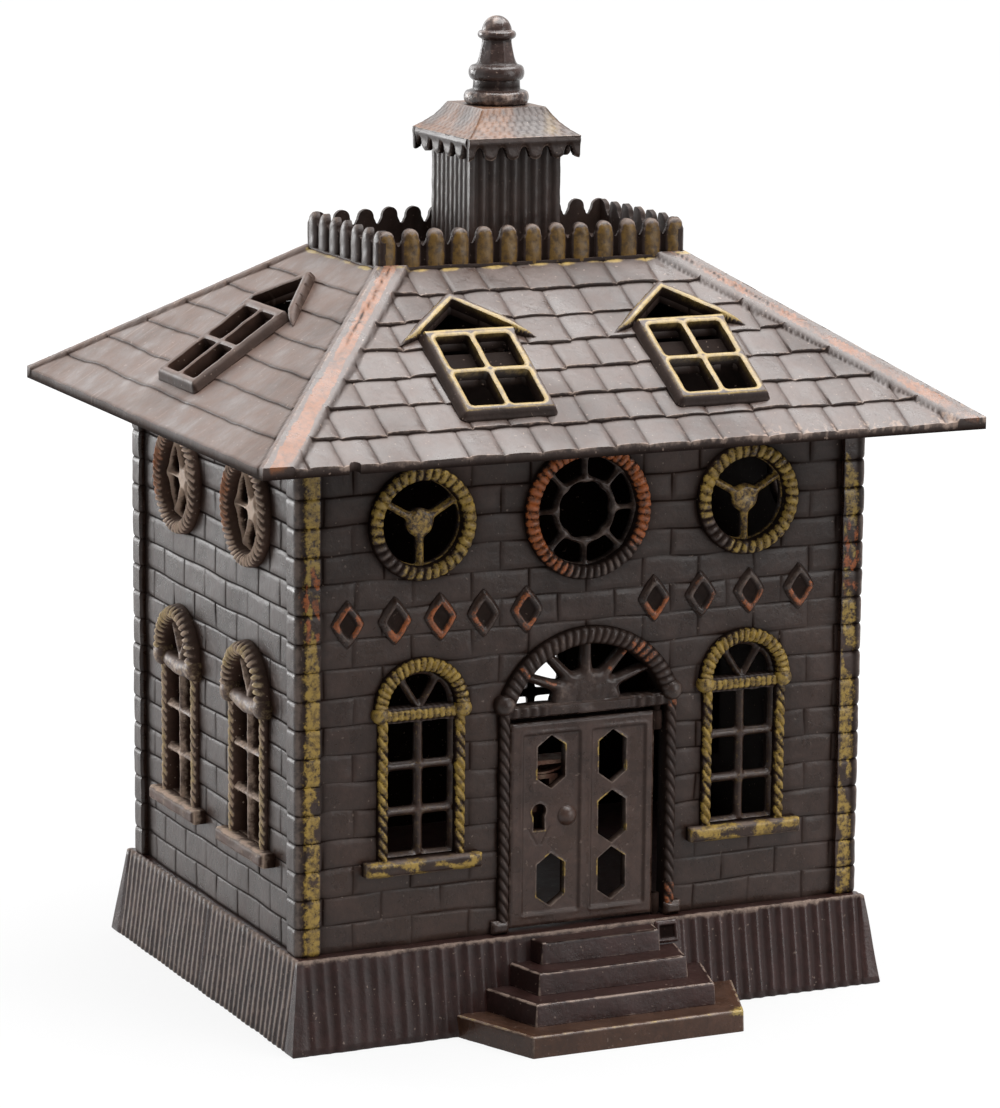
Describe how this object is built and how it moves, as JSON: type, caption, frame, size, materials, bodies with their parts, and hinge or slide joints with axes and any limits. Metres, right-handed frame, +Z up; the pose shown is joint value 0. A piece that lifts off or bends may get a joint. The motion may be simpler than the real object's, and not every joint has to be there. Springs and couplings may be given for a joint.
{
  "type": "cast iron building bank",
  "caption": "Hollow cast iron still bank in the form of a bank building, with a hipped shingle roof, cresting, tower, finial, steps and a locking hinged door.",
  "frame": {"origin": "on the ground, at the middle of the building's width and depth over its corner blocks", "axes": "+X to the right along the front, -Y out of the front with the door and steps, +Z up along the tie rod"},
  "size_m": [0.1604, 0.1399, 0.2031],
  "materials": {
    "base_iron": "purple-brown japan, worn to metal along the edges",
    "wall_iron": "black-brown japan with worn gold and copper bronzing on the mouldings",
    "roof_iron": "worn grey-brown japan, dusty, copper bronzing on the hips",
    "finial_iron": "rubbed dark brown",
    "door_iron": "dark brown japan, rubbed",
    "rod_steel": "dull steel with brown oxide",
    "lock_steel": "sheet iron with rust"
  },
  "bodies": {
    "building": {"base": "base_iron", "front_wall": "wall_iron", "rear_wall": "wall_iron", "left_wall": "wall_iron", "right_wall": "wall_iron", "roof": "roof_iron", "cupola_roof": "roof_iron", "finial": "finial_iron", "tie_rod": "rod_steel", "rod_nut": "rod_steel"},
    "door": {"door": "door_iron", "lock_case": "lock_steel", "case_rivet": "door_iron", "guide_rivet": "door_iron", "key_post": "lock_steel", "lock_spring": "lock_steel"},
    "bolt": {"lock_bolt": "lock_steel"}
  },
  "joints": [
    {"name": "door_hinge", "type": "hinge", "parent": "building", "child": "door", "pos_m": [0.0171, -0.0446, 0.0412], "axis": [0, 0, 1], "range_deg": [0, 95]},
    {"name": "bolt_slide", "type": "slide", "parent": "door", "child": "bolt", "axis": [-1, 0, 0], "range_m": [0, 0.004]}
  ]
}
